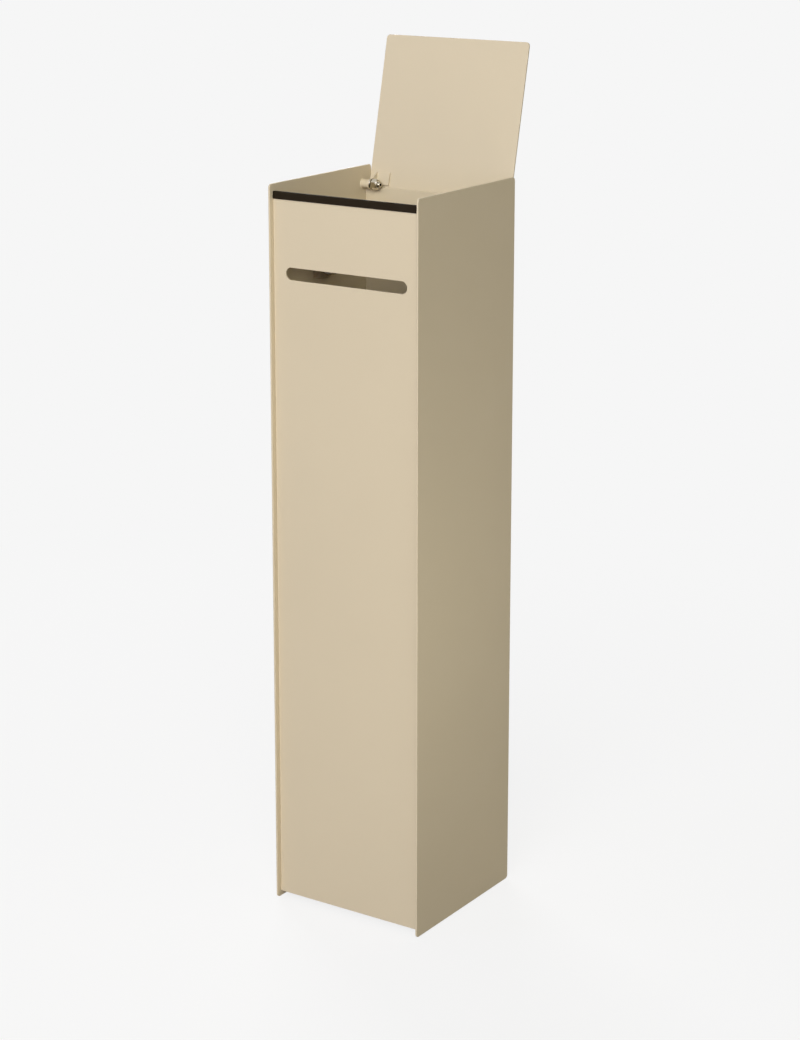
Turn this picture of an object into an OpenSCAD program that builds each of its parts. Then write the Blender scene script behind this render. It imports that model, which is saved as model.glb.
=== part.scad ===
// Free-standing toilet paper dispenser: a square column of sheet steel with a swinging lid,
// a paper slot in front and a spindle that lifts out for a new roll.
// The origin is on the floor under the middle of the column. +X points to the right as seen
// from the front, +Y to the back and +Z up. The lid is drawn open, as it rests.

/* [Column] */
// Width across the outer faces of the two side panels
column_w = 140; // [130:1:180]
// Depth of the side panels
column_d = 140; // [134:1:180]
// Height from the floor to the side panels' top edges
column_h = 600; // [420:5:900]
// Thickness of the panels' steel sheet
sheet_t = 1.5; // [1:0.1:2.5]
// Radius of the side panels' corners
panel_corner_r = 3; // [1:0.5:8]
// Distance from the side panels' front edges back to the front panel
front_recess = 4.5; // [2:0.5:8]
// Distance from the side panels' back edges forward to the back panel
back_recess = 6.5; // [3:0.5:10]
// Height of the front and back panels' lower edges above the side panels' lower edges
bottom_recess = 4.5; // [2:0.5:12]
// Distance from the side panels' top edges down to the back panel's top edge
back_drop = 17.5; // [16.5:0.5:24]

/* [Paper slot] */
// Length of the slot from round end to round end
slot_l = 114; // [80:1:118]
// Height of the slot
slot_h = 10; // [6:0.5:20]
// Height of the slot's middle above the spindle's axis
slot_above_spindle = 2; // [-10:0.5:20]

/* [Lid] */
// Thickness of the lid's steel sheet
lid_t = 1.5; // [1:0.1:2.5]
// Distance from the side panels' top edges down to the closed lid's upper face
lid_recess = 4; // [1:0.5:5]
// Clearance between the lid and each side panel
lid_side_gap = 0.5; // [0.3:0.1:1.5]
// Radius of the lid's corners
lid_corner_r = 3; // [1:0.5:8]
// Angle that the open lid leans back past upright
lid_lean = 12.4; // [4:0.1:14]

/* [Edge trim] */
// Thickness of the rubber trim's wall
trim_wall = 1; // [0.6:0.1:1.5]
// Height of the trim
trim_h = 6; // [4:0.5:12]
// Clearance between the trim and the closed lid
trim_gap = 0.2; // [0.1:0.1:0.5]
// Clearance between each end of the trim and the side panel
trim_end_gap = 0.2; // [0.1:0.1:0.5]

/* [Hinge] */
// Distance from the hinge axis back to the back panel's inner face
hinge_to_back = 4.5; // [4.3:0.1:6]
// Height of the hinge axis above the back panel's top edge
hinge_above_back = 2.8; // [2.8:0.1:4]
// Diameter of the hinge post
post_d = 7; // [6.5:0.5:9]
// Length of the hinge post from the side panel
post_l = 7; // [4:0.5:10]
// Diameter of the hinge stud
stud_d = 5; // [4:0.5:5]
// Length of the post's solid end, between the side panel and the stud
post_solid_l = 2; // [0.5:0.5:3]
// Length of the stud's end past the nut
stud_past_nut = 2; // [0:0.1:3]
// Radial clearance between the stud and the lid bracket's hole
stud_fit = 0.05; // [0.02:0.01:0.1]
// Clearance on each side of the lid bracket's ear
ear_side_gap = 0.15; // [0.1:0.05:0.4]
// Outer diameter of the washer
washer_d = 10; // [9:0.5:10]
// Thickness of the washer
washer_t = 1; // [0.5:0.1:1.6]
// Width of the nut across its flats
nut_flats = 8; // [7:0.5:8]
// Height of the nut's hexagon
nut_hex_h = 4.4; // [3:0.1:6]
// Height of the nut's round collar
nut_collar_h = 1.6; // [0.5:0.1:2.5]
// Distance from the hexagon's flats in to the round collar
nut_collar_in = 0.4; // [0.2:0.1:0.6]

/* [Lid bracket] */
// Thickness of the lid bracket's sheet
bracket_t = 1.5; // [1:0.1:2]
// Length of the bracket's leg across the lid, from the ear's inner face
bracket_leg = 11.5; // [8:0.5:20]
// Length of the bracket along the lid
bracket_l = 10.3; // [8:0.1:16]
// Distance from the hinge axis to the near end of the bracket's leg
bracket_foot = 0.5; // [0.3:0.1:2]
// Inner radius of the bracket's bend
bend_r = 1; // [0.5:0.1:1.5]
// Radius of the ear's round end
ear_r = 4.4; // [4:0.1:4.6]
// Clearance between the ear and the back panel's top edge, which stops the open lid
stop_gap = 0.3; // [0.2:0.05:0.5]

/* [Spindle] */
// Distance from the side panels' top edges down to the spindle's axis
spindle_drop = 72; // [66:1:90]
// Diameter of the spindle rod
rod_d = 10; // [8:0.5:12]
// Clearance between each end of the rod and the side panel
rod_end_gap = 1; // [0.5:0.1:2]
// Chamfer of the rod's ends
rod_chamfer = 0.6; // [0.2:0.1:1.5]
// Thickness of the bush's wall round the rod
bush_wall = 2; // [1.5:0.1:3]
// Width of the bush's flanges beyond its wall
bush_flange_w = 2; // [1:0.1:2.5]
// Thickness of each flange of the bush
bush_flange_t = 1.5; // [1:0.1:2]
// Radial clearance between the bush and the rod
bush_bore_fit = 0.05; // [0.02:0.01:0.1]
// Clearance between the bush and the cradle, all round
bush_seat_fit = 0.1; // [0.05:0.05:0.3]
// Distance that the spindle clip stands out from the rod, all round
clip_rim = 1.5; // [1:0.1:2.5]
// Thickness of the spindle clip
clip_t = 0.8; // [0.6:0.1:1.2]
// Depth of the clip's groove in the rod
clip_groove = 0.5; // [0.3:0.1:1]
// Clearance between the clip and the bush
clip_gap = 0.3; // [0.2:0.1:0.6]
// Opening angle of the spindle clip
clip_mouth = 60; // [30:5:100]

/* [Spindle cradle] */
// Clearance between the bush's flange and each side of the cradle
cradle_side_gap = 2; // [1:0.5:6]
// Distance that the cradle stands out from the side panel
cradle_out = 6; // [5.5:0.5:8]
// Thickness of the cradle's sheet
cradle_t = 1.5; // [1:0.1:2]
// Height of the cradle's sheet left below the notch
cradle_sill = 3.4; // [2:0.2:10]
// Height of the cradle above the spindle's axis
cradle_above = 10; // [4:0.5:16]
// Inner radius of the cradle's bends
cradle_bend_r = 0.5; // [0.3:0.1:1]
// Width and height of the bevels at the notch's mouth
notch_bevel = 2; // [0.5:0.5:3]

/* [Base and feet] */
// Clearance between the floor and the side panels' lower edges
floor_gap = 1; // [0.5:0.1:3]
// Diameter of a foot where it touches the base plate
foot_d = 18; // [10:1:30]
// Distance from the base plate's edges in to a foot's edge
foot_margin = 7.5; // [2:0.5:20]
// Amount by which a foot narrows towards the floor, all round
foot_taper = 1; // [0:0.1:3]

/* [Hidden] */
$fn = 96;

// Cuts run this far past the faces that they open
cut_past = 1;

paint = "#d2c3a8";
paint_deep = "#c7b899";
steel = "#b9b6ae";
rubber = "#2c2119";
foot_rubber = "#3a3530";
nylon = "#dcd8cd";

// The two sides of the column, and its two ends in depth
LEFT = -1;
RIGHT = 1;
FRONT = -1;
BACK = 1;

// Faces and edges of the column
inner_w = column_w - 2 * sheet_t;
wall_x = inner_w / 2;
front_y = -column_d / 2 + front_recess;
back_y = column_d / 2 - back_recess;
front_inner_y = front_y + sheet_t;
back_inner_y = back_y - sheet_t;
lower_edge_z = floor_gap + bottom_recess;
back_top_z = column_h - back_drop;

// The closed lid rests on the trim, and the trim sits on the front panel
lid_under_z = column_h - lid_recess - lid_t;
trim_top_z = lid_under_z - trim_gap;
front_top_z = trim_top_z - trim_wall;

// The lid covers the column from the trim's outer face to the back panel's outer face
lid_front_y = front_y - trim_wall;
lid_back_y = back_y;

// Hinge axis, and the lid's inner face measured from it
hinge_y = back_inner_y - hinge_to_back;
hinge_z = back_top_z + hinge_above_back;
lid_offset = lid_under_z - hinge_z;
open_angle = 90 + lid_lean;

// Pieces on the hinge, measured from the side panel's inner face
ear_x = post_l + ear_side_gap;
washer_x = ear_x + bracket_t + ear_side_gap;
nut_x = washer_x + washer_t;
stud_l = nut_x + nut_hex_h + nut_collar_h + stud_past_nut - post_solid_l;

// The bracket's bend starts this far from the hinge axis
bend_start = lid_offset - bracket_t - bend_r;
// The ear's front flank ends this far on the other side of the hinge axis from the lid, as a
// share of the round end
flank_share = 0.65;
// Where the open ear meets the back panel's top edge, from the hinge axis: as the open lid
// stands, and on the lid as it is drawn closed
stop_open = [hinge_to_back - stop_gap, stop_gap - hinge_above_back];
stop_point = [
    stop_open.x * cos(open_angle) - stop_open.y * sin(open_angle),
    stop_open.x * sin(open_angle) + stop_open.y * cos(open_angle)
];

// Spindle axis, and the pieces on it measured from the side panel's inner face
spindle_z = column_h - spindle_drop;
slot_z = spindle_z + slot_above_spindle;
rod_r = rod_d / 2;
bush_r = rod_r + bush_wall;
bush_flange_r = bush_r + bush_flange_w;
seat_r = bush_r + bush_seat_fit;
bush_start_x = cradle_out - cradle_t - bush_seat_fit - bush_flange_t;
bush_l = cradle_t + 2 * bush_seat_fit + 2 * bush_flange_t;
clip_x = bush_start_x + bush_l + clip_gap;
clip_r = rod_r + clip_rim;
groove_r = rod_r - clip_groove;
cradle_w = 2 * (bush_flange_r + cradle_side_gap + cradle_t);
cradle_below = seat_r + cradle_sill;

// A flat rectangle with round corners, centred on the origin
module rounded_rectangle(w, h, r) {
    square([w - 2 * r, h], center = true);
    square([w, h - 2 * r], center = true);
    for (x = [-1, 1])
        for (y = [-1, 1])
            translate([x * (w / 2 - r), y * (h / 2 - r)])
                circle(r);
}

// A flat slot with round ends, centred on the origin
module round_ended_slot(l, h) {
    square([l - h, h], center = true);
    for (x = [-1, 1])
        translate([x * (l - h) / 2, 0])
            circle(h / 2);
}

// Stands a flat outline up in the plane across the column, its near face at y and its foot at z
module upright_across(y, z, t) {
    translate([0, y, z])
        rotate([90, 0, 0])
            translate([0, 0, -t])
                linear_extrude(t)
                    children();
}

// Places a piece drawn at the left side on either side of the column
module on_side(side) {
    mirror([side == RIGHT ? 1 : 0, 0, 0])
        children();
}

// Places a piece drawn from the left side panel's inner face along +X, at a height and depth
module from_wall(side, y, z) {
    on_side(side)
        translate([-wall_x, y, z])
            children();
}

// A round piece along +X from x, hollow if it has a bore
module along_x(x, l, r) {
    translate([x, 0, 0])
        rotate([0, 90, 0])
            cylinder(h = l, r = r);
}

// Swings a piece drawn with the lid closed, measured from the hinge axis, to the open pose
module swung_open() {
    translate([0, hinge_y, hinge_z])
        rotate([-open_angle, 0, 0])
            children();
}

module side_panel(side) {
    panel_h = column_h - floor_gap;
    color(paint)
        on_side(side)
            translate([-column_w / 2, 0, floor_gap + panel_h / 2])
                rotate([90, 0, 90])
                    linear_extrude(sheet_t)
                        rounded_rectangle(column_d, panel_h, panel_corner_r);
}

module front_panel() {
    color(paint)
        upright_across(front_y, 0, sheet_t)
            difference() {
                translate([-wall_x, lower_edge_z])
                    square([inner_w, front_top_z - lower_edge_z]);
                translate([0, slot_z])
                    round_ended_slot(slot_l, slot_h);
            }
}

module back_panel() {
    color(paint)
        translate([-wall_x, back_inner_y, lower_edge_z])
            cube([inner_w, sheet_t, back_top_z - lower_edge_z]);
}

module base_plate() {
    color(paint_deep)
        translate([-wall_x, front_inner_y, lower_edge_z])
            cube([inner_w, back_inner_y - front_inner_y, sheet_t]);
}

// A rubber foot under the base plate, near one of its four corners
module foot(side, end) {
    foot_in = foot_margin + foot_d / 2;
    foot_y = end == FRONT ? front_inner_y + foot_in : back_inner_y - foot_in;
    color(foot_rubber)
        from_wall(side, foot_y, 0)
            translate([foot_in, 0, 0])
                cylinder(h = lower_edge_z, r1 = foot_d / 2 - foot_taper, r2 = foot_d / 2);
}

// A rubber U-profile pushed over the front panel's top edge
module front_edge_trim() {
    trim_w = inner_w - 2 * trim_end_gap;
    color(rubber)
        difference() {
            translate([-trim_w / 2, lid_front_y, trim_top_z - trim_h])
                cube([trim_w, sheet_t + 2 * trim_wall, trim_h]);
            translate([-trim_w / 2 - cut_past, front_y, trim_top_z - trim_h - cut_past])
                cube([trim_w + 2 * cut_past, sheet_t, trim_h - trim_wall + cut_past]);
        }
}

// A round post on the side panel, with a blind hole for the stud
module hinge_post(side) {
    color(paint)
        from_wall(side, hinge_y, hinge_z)
            difference() {
                along_x(0, post_l, post_d / 2);
                along_x(post_solid_l, post_l - post_solid_l + cut_past, stud_d / 2);
            }
}

module hinge_stud(side) {
    color(steel)
        from_wall(side, hinge_y, hinge_z)
            along_x(post_solid_l, stud_l, stud_d / 2);
}

module hinge_washer(side) {
    color(steel)
        from_wall(side, hinge_y, hinge_z)
            difference() {
                along_x(washer_x, washer_t, washer_d / 2);
                along_x(washer_x - cut_past, washer_t + 2 * cut_past, stud_d / 2);
            }
}

// A locking nut: a hexagon with a flat on top, and a round collar
module hinge_nut(side) {
    hex_corner_r = nut_flats / 2 / cos(30);
    color(steel)
        from_wall(side, hinge_y, hinge_z)
            difference() {
                union() {
                    translate([nut_x, 0, 0])
                        rotate([0, 90, 0])
                            rotate([0, 0, 30])
                                cylinder(h = nut_hex_h, r = hex_corner_r, $fn = 6);
                    along_x(nut_x, nut_hex_h + nut_collar_h, nut_flats / 2 - nut_collar_in);
                }
                along_x(nut_x - cut_past, nut_hex_h + nut_collar_h + 2 * cut_past, stud_d / 2);
            }
}

module lid() {
    lid_w = inner_w - 2 * lid_side_gap;
    lid_l = lid_back_y - lid_front_y;
    color(paint)
        swung_open()
            translate([0, (lid_back_y + lid_front_y) / 2 - hinge_y, lid_offset])
                linear_extrude(lid_t)
                    rounded_rectangle(lid_w, lid_l, lid_corner_r);
}

// Outline of the bracket's ear, in the plane across the hinge axis: a round end about the
// axis, and a web up to the bend whose back flank stops on the back panel's top edge
module ear_outline() {
    circle(ear_r);
    polygon([
        [-bracket_foot - bracket_l, bend_start],
        [-bracket_foot, bend_start],
        stop_point,
        [0, 0],
        [0, -flank_share * ear_r]
    ]);
}

// A bent bracket on the lid's inner face; its ear turns on the stud
module lid_bracket(side) {
    leg_x = ear_x + bracket_t + bend_r;
    color(paint)
        swung_open()
            on_side(side)
                translate([-wall_x, 0, 0]) {
                    difference() {
                        translate([ear_x, 0, 0])
                            rotate([90, 0, 90])
                                linear_extrude(bracket_t)
                                    ear_outline();
                        along_x(ear_x - cut_past, bracket_t + 2 * cut_past, stud_d / 2 + stud_fit);
                    }
                    translate([leg_x, -bracket_foot, bend_start])
                        rotate([90, 0, 0])
                            bracket_bend(bracket_l);
                    translate([leg_x, -bracket_foot - bracket_l, lid_offset - bracket_t])
                        cube([bracket_leg - bend_r, bracket_l, bracket_t]);
                }
}

// A quarter-round bend of the bracket's sheet, drawn along +Z
module bracket_bend(l) {
    linear_extrude(l)
        difference() {
            intersection() {
                circle(bend_r + bracket_t);
                translate([-bend_r - bracket_t, 0])
                    square(bend_r + bracket_t);
            }
            circle(bend_r);
        }
}

// A bent channel on the side panel, with an open-topped notch for the spindle's bush
module spindle_cradle(side) {
    cradle_h = cradle_below + cradle_above;
    outer_r = cradle_bend_r + cradle_t;
    color(paint_deep)
        from_wall(side, 0, spindle_z)
            difference() {
                translate([0, 0, -cradle_below])
                    linear_extrude(cradle_h)
                        difference() {
                            channel_outline(cradle_out, cradle_w, outer_r);
                            channel_outline(
                                cradle_out - cradle_t,
                                cradle_w - 2 * cradle_t,
                                cradle_bend_r
                            );
                        }
                translate([cradle_out - cradle_t - cut_past, 0, 0])
                    rotate([90, 0, 90])
                        linear_extrude(cradle_t + 2 * cut_past)
                            notch_outline();
            }
}

// A rectangle from the side panel out to depth, with its two outer corners round
module channel_outline(depth, w, r) {
    translate([0, -w / 2])
        square([depth - r, w]);
    translate([0, -w / 2 + r])
        square([depth, w - 2 * r]);
    for (y = [-1, 1])
        translate([depth - r, y * (w / 2 - r)])
            circle(r);
}

// The notch: a half round seat under a straight throat with a bevelled mouth
module notch_outline() {
    circle(seat_r);
    polygon([
        [-seat_r, 0],
        [seat_r, 0],
        [seat_r, cradle_above - notch_bevel],
        [seat_r + notch_bevel, cradle_above],
        [seat_r + notch_bevel, cradle_above + cut_past],
        [-seat_r - notch_bevel, cradle_above + cut_past],
        [-seat_r - notch_bevel, cradle_above],
        [-seat_r, cradle_above - notch_bevel]
    ]);
}

// A bush with a flange on each side of the cradle's sheet
module spindle_bush(side) {
    color(nylon)
        from_wall(side, 0, spindle_z)
            difference() {
                union() {
                    along_x(bush_start_x, bush_l, bush_r);
                    for (x = [bush_start_x, bush_start_x + bush_l - bush_flange_t])
                        along_x(x, bush_flange_t, bush_flange_r);
                }
                along_x(bush_start_x - cut_past, bush_l + 2 * cut_past, rod_r + bush_bore_fit);
            }
}

// The bar that the roll hangs on, with a groove for the clip near each end
module spindle_rod() {
    rod_l = inner_w - 2 * rod_end_gap;
    color(steel)
        translate([0, 0, spindle_z])
            difference() {
                rotate([0, 90, 0])
                    rotate_extrude()
                        polygon([
                            [0, -rod_l / 2],
                            [rod_r - rod_chamfer, -rod_l / 2],
                            [rod_r, -rod_l / 2 + rod_chamfer],
                            [rod_r, rod_l / 2 - rod_chamfer],
                            [rod_r - rod_chamfer, rod_l / 2],
                            [0, rod_l / 2]
                        ]);
                for (side = [LEFT, RIGHT])
                    on_side(side)
                        translate([-wall_x, 0, 0])
                            difference() {
                                along_x(clip_x, clip_t, clip_r);
                                along_x(clip_x - cut_past, clip_t + 2 * cut_past, groove_r);
                            }
            }
}

// A snap ring in the rod's groove, open at the bottom
module spindle_clip(side) {
    color(steel)
        from_wall(side, 0, spindle_z)
            difference() {
                along_x(clip_x, clip_t, clip_r);
                along_x(clip_x - cut_past, clip_t + 2 * cut_past, groove_r);
                translate([clip_x - cut_past, 0, 0])
                    rotate([90, 0, 90])
                        linear_extrude(clip_t + 2 * cut_past)
                            polygon([
                                [0, 0],
                                2 * clip_r * [-sin(clip_mouth / 2), -cos(clip_mouth / 2)],
                                2 * clip_r * [sin(clip_mouth / 2), -cos(clip_mouth / 2)]
                            ]);
            }
}

side_panel(LEFT);  // left_side_panel
side_panel(RIGHT);  // right_side_panel
front_panel();
back_panel();
base_plate();
foot(LEFT, FRONT);  // front_left_foot
foot(RIGHT, FRONT);  // front_right_foot
foot(LEFT, BACK);  // back_left_foot
foot(RIGHT, BACK);  // back_right_foot
front_edge_trim();
hinge_post(LEFT);  // left_hinge_post
hinge_post(RIGHT);  // right_hinge_post
hinge_stud(LEFT);  // left_hinge_stud
hinge_stud(RIGHT);  // right_hinge_stud
hinge_washer(LEFT);  // left_hinge_washer
hinge_washer(RIGHT);  // right_hinge_washer
hinge_nut(LEFT);  // left_hinge_nut
hinge_nut(RIGHT);  // right_hinge_nut
lid();
lid_bracket(LEFT);  // left_lid_bracket
lid_bracket(RIGHT);  // right_lid_bracket
spindle_cradle(LEFT);  // left_spindle_cradle
spindle_cradle(RIGHT);  // right_spindle_cradle
spindle_bush(LEFT);  // left_spindle_bush
spindle_bush(RIGHT);  // right_spindle_bush
spindle_rod();
spindle_clip(LEFT);  // left_spindle_clip
spindle_clip(RIGHT);  // right_spindle_clip
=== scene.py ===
"""The looks of the toilet paper dispenser: a square column of powder-coated sheet steel with
a swinging lid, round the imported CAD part. Sizes are in millimetres unless a name says metres.
"""

import math

import bmesh
import bpy
from mathutils import Matrix, Vector


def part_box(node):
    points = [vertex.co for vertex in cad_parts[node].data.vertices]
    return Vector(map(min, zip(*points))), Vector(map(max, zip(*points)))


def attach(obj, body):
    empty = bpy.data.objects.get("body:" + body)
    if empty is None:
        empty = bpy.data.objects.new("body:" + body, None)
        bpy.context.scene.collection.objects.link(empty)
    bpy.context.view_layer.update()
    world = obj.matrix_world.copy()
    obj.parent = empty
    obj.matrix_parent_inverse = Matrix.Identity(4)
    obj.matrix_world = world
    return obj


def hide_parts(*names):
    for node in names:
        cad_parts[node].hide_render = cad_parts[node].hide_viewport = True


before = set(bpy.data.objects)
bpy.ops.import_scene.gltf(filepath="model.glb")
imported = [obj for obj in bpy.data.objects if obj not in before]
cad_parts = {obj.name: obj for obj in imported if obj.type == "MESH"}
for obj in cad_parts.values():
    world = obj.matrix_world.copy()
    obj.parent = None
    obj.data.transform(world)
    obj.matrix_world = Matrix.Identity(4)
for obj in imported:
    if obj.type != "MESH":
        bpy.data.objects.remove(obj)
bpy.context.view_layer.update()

MM = 0.001
LEFT, RIGHT = -1, 1
SIDE_NAMES = {LEFT: "left", RIGHT: "right"}

# Column
SHEET_T = 1.5
WALL_X = 68.5
COLUMN_D = 140.0
COLUMN_TOP = 600.0
FLOOR_GAP = 1.0
PANEL_CORNER_R = 3.0
FRONT_Y = -65.5
BACK_INNER_Y = 62.0
LOWER_EDGE_Z = 5.5
FRONT_TOP_Z = 593.3
BACK_TOP_Z = 582.5
SLOT_L = 114.0
SLOT_H = 10.0
SLOT_Z = 530.0
# How far the powder coat rounds the cut edges of the big sheets and of the small bent pieces
COAT_ROUND = 0.3
SMALL_COAT_ROUND = 0.2

# Lid, measured closed from the hinge axis, which lies at this Y and Z
HINGE_AXIS = (57.5, 585.3)
OPEN_ANGLE = 102.4
LID_UNDER = 9.2
LID_FRONT = -124.0
LID_BACK = 6.0
LID_W = 136.0
LID_CORNER_R = 3.0

# Pieces on the hinge, measured from the side panel's inner face
POST_R = 3.5
POST_L = 7.0
POST_SOLID_L = 2.0
EAR_X = 7.15
BRACKET_T = 1.5
WASHER_X = 8.8
WASHER_T = 1.0
WASHER_R = 5.0
NUT_X = 9.8
NUT_HEX_H = 5.0
NUT_COLLAR_H = 1.0
NUT_FLATS = 8.0
STUD_R = 2.5
STUD_END_X = 17.8
SOCKET_FLATS = 2.5
SOCKET_DEEP = 2.2
THREAD_PITCH = 0.8
THREAD_DEPTH = 0.45
PAINT_FILLET_R = 0.9
POST_RIM_R = 0.4

# Lid bracket, measured closed from the hinge axis
EAR_R = 4.4
EAR_HOLE_R = 2.55
BEND_START = 6.7
BEND_R = 1.0
BRACKET_FOOT = 0.5
BRACKET_L = 10.3
BRACKET_LEG = 11.5
# The ear's corner that stops on the back panel's edge, and where the line of its flank starts
STOP_POINT = (1.54, 4.639)
FLANK_POINT = (0.0, -2.86)

# Spindle, whose axis lies at this Y and Z
SPINDLE_AXIS = (0.0, 528.0)
ROD_R = 5.0
ROD_HALF_L = 67.5
BUSH_R = 7.0
BUSH_FLANGE_R = 9.0
BUSH_FLANGE_T = 1.5
BUSH_X = 2.9
BUSH_L = 4.7
CLIP_X = 7.9
CLIP_T = 0.8
CLIP_R = 6.5
GROOVE_R = 4.5
CLIP_MOUTH = 60.0
CRADLE_OUT = 6.0
CRADLE_HALF_W = 12.5
CRADLE_LOW = -10.5
CRADLE_HIGH = 10.0
CRADLE_BEND_R = 2.0
SEAT_R = 7.1
NOTCH_BEVEL = 2.0

# Rubber
TRIM_HALF_W = 68.3
TRIM_FRONT_Y = -66.5
TRIM_BACK_Y = -63.0
TRIM_LOW_Z = 588.3
TRIM_TOP_Z = 594.3
TRIM_CORNER_R = 0.9
FOOT_TOP_R = 9.0
FOOT_FLOOR_R = 8.0
# The tiny ring that stands for a point on a foot's axis
CENTRE_R = 0.05


# Node trees

def add_node(tree, kind, label, **sockets):
    """A node of that kind, with its inputs set to values or linked from other sockets."""
    node = tree.nodes.new(kind)
    node.label = label
    node.name = label
    for name, value in sockets.items():
        feed(tree, node.inputs[name.replace("_", " ")], value)
    return node


def feed(tree, socket, value):
    """Links value into socket if it is a socket itself, and otherwise sets it there."""
    if isinstance(value, bpy.types.NodeSocket):
        tree.links.new(value, socket)
    else:
        socket.default_value = value


def maths(tree, operation, label, *values):
    node = tree.nodes.new("ShaderNodeMath")
    node.operation = operation
    node.label = label
    for socket, value in zip(node.inputs, values):
        feed(tree, socket, value)
    return node.outputs[0]


def spread(tree, label, value, low, high, to_low=0.0, to_high=1.0):
    """Value mapped from low..high to to_low..to_high, and held there."""
    node = tree.nodes.new("ShaderNodeMapRange")
    node.label = label
    node.clamp = True
    for name, fed in (
        ("Value", value), ("From Min", low), ("From Max", high),
        ("To Min", to_low), ("To Max", to_high),
    ):
        feed(tree, node.inputs[name], fed)
    return node.outputs["Result"]


def mix_colour(tree, label, share, first, second):
    node = tree.nodes.new("ShaderNodeMix")
    node.data_type = "RGBA"
    node.label = label
    feed(tree, node.inputs["Factor"], share)
    feed(tree, node.inputs["A"], first)
    feed(tree, node.inputs["B"], second)
    return node.outputs["Result"]


def noise(tree, label, coordinates, scale, detail=2.0, roughness=0.5):
    node = tree.nodes.new("ShaderNodeTexNoise")
    node.label = label
    feed(tree, node.inputs["Vector"], coordinates)
    feed(tree, node.inputs["Scale"], scale)
    node.inputs["Detail"].default_value = detail
    node.inputs["Roughness"].default_value = roughness
    return node.outputs["Fac"]


def own_coordinates(tree):
    """The piece's own coordinates, so that its finish moves with it."""
    return tree.nodes.new("ShaderNodeTexCoord").outputs["Object"]


def tinted(tree, label, mask, amount, base, colour):
    """The base colour, turned to another colour by that amount where the mask is 1."""
    share = maths(tree, "MULTIPLY", label + " share", mask, amount)
    return mix_colour(tree, label, share, base, colour)


def stretched(tree, label, coordinates, scale):
    """Coordinates scaled by a different factor along each axis, so that a grain runs one way."""
    node = tree.nodes.new("ShaderNodeMapping")
    node.label = label
    feed(tree, node.inputs["Vector"], coordinates)
    node.inputs["Scale"].default_value = scale
    return node.outputs["Vector"]


def new_group(name, inputs, outputs):
    """An empty node group with named inputs (with their values) and outputs."""
    tree = bpy.data.node_groups.new(name, "ShaderNodeTree")
    for socket_name, kind, value in inputs:
        socket = tree.interface.new_socket(socket_name, in_out="INPUT", socket_type=kind)
        socket.default_value = value
    for socket_name, kind in outputs:
        tree.interface.new_socket(socket_name, in_out="OUTPUT", socket_type=kind)
    inner_in = tree.nodes.new("NodeGroupInput")
    inner_out = tree.nodes.new("NodeGroupOutput")
    return tree, inner_in.outputs, inner_out.inputs


FLOAT = "NodeSocketFloat"


def edge_wear_and_highlight_group():
    """Where a piece's edges are: 1 on a convex edge, falling to 0 at Width metres from it. It masks
    both real wear and painted edge highlights.
    """
    tree, given, out = new_group(
        "Edge wear and highlight",
        [("Width", FLOAT, 0.0008), ("Break up", FLOAT, 0.5), ("Break up scale", FLOAT, 400.0)],
        [("Edge", FLOAT)],
    )
    rounded = tree.nodes.new("ShaderNodeBevel")
    rounded.label = "Rounded normal"
    rounded.samples = 6
    feed(tree, rounded.inputs["Radius"], given["Width"])
    geometry = tree.nodes.new("ShaderNodeNewGeometry")
    compare = tree.nodes.new("ShaderNodeVectorMath")
    compare.operation = "DOT_PRODUCT"
    compare.label = "Alike"
    feed(tree, compare.inputs[0], rounded.outputs["Normal"])
    feed(tree, compare.inputs[1], geometry.outputs["Normal"])
    edge = spread(tree, "Edge", compare.outputs["Value"], 0.995, 0.86)
    coordinates = own_coordinates(tree)
    patches = noise(tree, "Patches", coordinates, given["Break up scale"], 3.0, 0.6)
    kept = spread(tree, "Kept", patches, 0.35, 0.65)
    broken = maths(tree, "SUBTRACT", "Whole share", 1.0, given["Break up"])
    share = maths(tree, "MULTIPLY_ADD", "Share", kept, given["Break up"], broken)
    feed(tree, out["Edge"], maths(tree, "MULTIPLY", "Worn and highlighted edge", edge, share))
    return tree


def powder_texture_group():
    """A powder coat's skin: slow orange peel, fine grain, and slow drifts of tone."""
    tree, given, out = new_group(
        "Powder texture",
        [("Peel scale", FLOAT, 420.0), ("Grain scale", FLOAT, 2600.0), ("Grain share", FLOAT, 0.45)],
        [("Height", FLOAT), ("Tone", FLOAT), ("Speck", FLOAT)],
    )
    coordinates = own_coordinates(tree)
    peel = noise(tree, "Orange peel", coordinates, given["Peel scale"], 1.5, 0.45)
    grain = noise(tree, "Grain", coordinates, given["Grain scale"], 2.0, 0.6)
    height = tree.nodes.new("ShaderNodeMix")
    height.label = "Peel and grain"
    feed(tree, height.inputs["Factor"], given["Grain share"])
    feed(tree, height.inputs["A"], peel)
    feed(tree, height.inputs["B"], grain)
    feed(tree, out["Height"], height.outputs["Result"])
    feed(tree, out["Tone"], noise(tree, "Slow tone", coordinates, 7.0, 3.0, 0.55))
    specks = tree.nodes.new("ShaderNodeTexVoronoi")
    specks.label = "Powder specks"
    specks.inputs["Scale"].default_value = 320.0
    feed(tree, specks.inputs["Vector"], coordinates)
    feed(tree, out["Speck"], spread(tree, "Speck", specks.outputs["Distance"], 0.16, 0.05))
    return tree


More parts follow.
